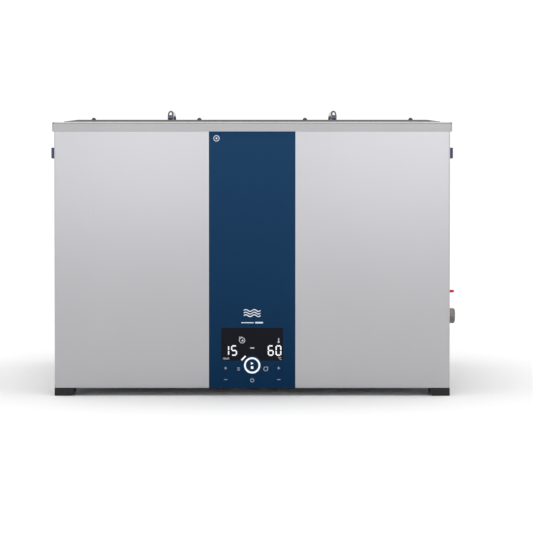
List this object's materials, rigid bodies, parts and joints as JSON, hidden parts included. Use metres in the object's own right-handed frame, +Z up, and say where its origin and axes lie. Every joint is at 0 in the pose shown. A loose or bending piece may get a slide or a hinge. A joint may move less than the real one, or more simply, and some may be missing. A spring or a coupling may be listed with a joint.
{
  "type": "ultrasonic cleaner",
  "caption": "Bench-top ultrasonic cleaning bath: brushed steel casing round a heated tank, blue control strip, lid with bow handles and a side drain valve.",
  "frame": {"origin": "middle of the underside of the feet, on the table under the middle of the machine", "axes": "+X to the right seen from the front, +Y from the front to the rear, +Z up"},
  "size_m": [0.7002, 0.56, 0.469],
  "materials": {
    "brushed_casing": "brushed stainless sheet, vertical grain",
    "tank_steel": "drawn stainless, satin rim",
    "lid_steel": "satin stainless sheet",
    "bright_steel": "polished stainless bar",
    "zinc_steel": "zinc-plated steel",
    "blue_film": "satin blue panel film",
    "blue_key": "satin blue key",
    "smoked_window": "smoked acrylic, opaque dark",
    "light_guide": "white diffusing light guide",
    "circuit_board": "green solder mask",
    "black_plastic": "moulded black plastic",
    "blue_plastic": "moulded dark blue plastic",
    "black_rubber": "moulded rubber",
    "grey_rubber": "soft dark grey rubber",
    "seal_rubber": "silicone seal",
    "nickel_brass": "nickel-plated brass",
    "ptfe": "white fluoropolymer",
    "red_vinyl": "dipped red vinyl",
    "heater_silicone": "orange-brown silicone mat",
    "aluminium": "turned or extruded aluminium",
    "piezo_ceramic": "silvered lead zirconate ceramic",
    "dark_steel": "blackened steel",
    "copper_winding": "varnished copper",
    "capacitor_sleeve": "shrink sleeve"
  },
  "bodies": {
    "machine": {"outer_housing": "brushed_casing", "rear_panel": "brushed_casing", "bottom_plate": "zinc_steel", "tank": "tank_steel", "rim_seal": "seal_rubber", "front_overlay": "blue_film", "display_window": "smoked_window", "ring_light": "light_guide", "control_board": "circuit_board", "display_module": "black_plastic", "key_switches": "black_plastic", "side_handle_left": "blue_plastic", "side_handle_right": "blue_plastic", "drain_pipe": "tank_steel", "drain_gasket": "seal_rubber", "valve_body": "nickel_brass", "valve_retainer": "nickel_brass", "valve_seats": "ptfe", "valve_gland_nut": "nickel_brass", "heating_pads": "heater_silicone", "temperature_sensor": "bright_steel", "safety_thermostat": "ptfe", "transducer_front_masses": "aluminium", "transducer_piezo_rings": "piezo_ceramic", "transducer_back_masses": "dark_steel", "transducer_bolts": "zinc_steel", "generator_board": "circuit_board", "board_standoffs": "nickel_brass", "heat_sink": "aluminium", "output_transformer": "copper_winding", "board_capacitors": "capacitor_sleeve", "fan_frame": "black_plastic", "fan_guard": "bright_steel", "mains_inlet": "black_plastic", "case_screws": "zinc_steel", "foot_front_left": "black_rubber", "foot_front_right": "black_rubber", "foot_rear_left": "black_rubber", "foot_rear_right": "black_rubber"},
    "lid": {"lid_pan": "lid_steel", "lid_handle_left": "bright_steel", "lid_handle_right": "bright_steel", "lid_handle_pads": "blue_plastic", "lid_handle_nuts": "zinc_steel", "lid_bumpers": "grey_rubber"},
    "drain_lever": {"valve_lever": "zinc_steel", "valve_lever_grip": "red_vinyl", "valve_lever_nut": "zinc_steel", "valve_stem": "nickel_brass", "valve_ball": "bright_steel"},
    "fan_wheel": {"fan_rotor": "black_plastic"},
    "fuse_holder": {"fuse_drawer": "black_plastic"},
    "key_start_stop": {"button_start_stop": "blue_key"},
    "key_time_plus": {"button_time_plus": "blue_key"},
    "key_time_minus": {"button_time_minus": "blue_key"},
    "key_temp_plus": {"button_temp_plus": "blue_key"},
    "key_temp_minus": {"button_temp_minus": "blue_key"},
    "key_menu": {"button_menu": "blue_key"},
    "key_mode": {"button_mode": "blue_key"},
    "key_power": {"button_power": "blue_key"}
  },
  "joints": [
    {"name": "lid_lift", "type": "slide", "parent": "machine", "child": "lid", "axis": [0, 0, 1], "range_m": [0, 0.35]},
    {"name": "drain_lever_turn", "type": "hinge", "parent": "machine", "child": "drain_lever", "pos_m": [0.333, -0.0555, 0.1539], "axis": [0, 0, 1], "range_deg": [0, 90]},
    {"name": "fan_spin", "type": "hinge", "parent": "machine", "child": "fan_wheel", "pos_m": [-0.18, 0.262, 0.075], "axis": [0, 1, 0], "continuous": true},
    {"name": "fuse_drawer_slide", "type": "slide", "parent": "machine", "child": "fuse_holder", "axis": [0, 1, 0], "range_m": [0, 0.018]},
    {"name": "press_start_stop", "type": "slide", "parent": "machine", "child": "key_start_stop", "axis": [0, 1, 0], "range_m": [0, 0.0005], "stiffness_N_per_m": 600},
    {"name": "press_time_plus", "type": "slide", "parent": "machine", "child": "key_time_plus", "axis": [0, 1, 0], "range_m": [0, 0.0005], "stiffness_N_per_m": 600},
    {"name": "press_time_minus", "type": "slide", "parent": "machine", "child": "key_time_minus", "axis": [0, 1, 0], "range_m": [0, 0.0005], "stiffness_N_per_m": 600},
    {"name": "press_temp_plus", "type": "slide", "parent": "machine", "child": "key_temp_plus", "axis": [0, 1, 0], "range_m": [0, 0.0005], "stiffness_N_per_m": 600},
    {"name": "press_temp_minus", "type": "slide", "parent": "machine", "child": "key_temp_minus", "axis": [0, 1, 0], "range_m": [0, 0.0005], "stiffness_N_per_m": 600},
    {"name": "press_menu", "type": "slide", "parent": "machine", "child": "key_menu", "axis": [0, 1, 0], "range_m": [0, 0.0005], "stiffness_N_per_m": 600},
    {"name": "press_mode", "type": "slide", "parent": "machine", "child": "key_mode", "axis": [0, 1, 0], "range_m": [0, 0.0005], "stiffness_N_per_m": 600},
    {"name": "press_power", "type": "slide", "parent": "machine", "child": "key_power", "axis": [0, 1, 0], "range_m": [0, 0.0005], "stiffness_N_per_m": 600}
  ]
}
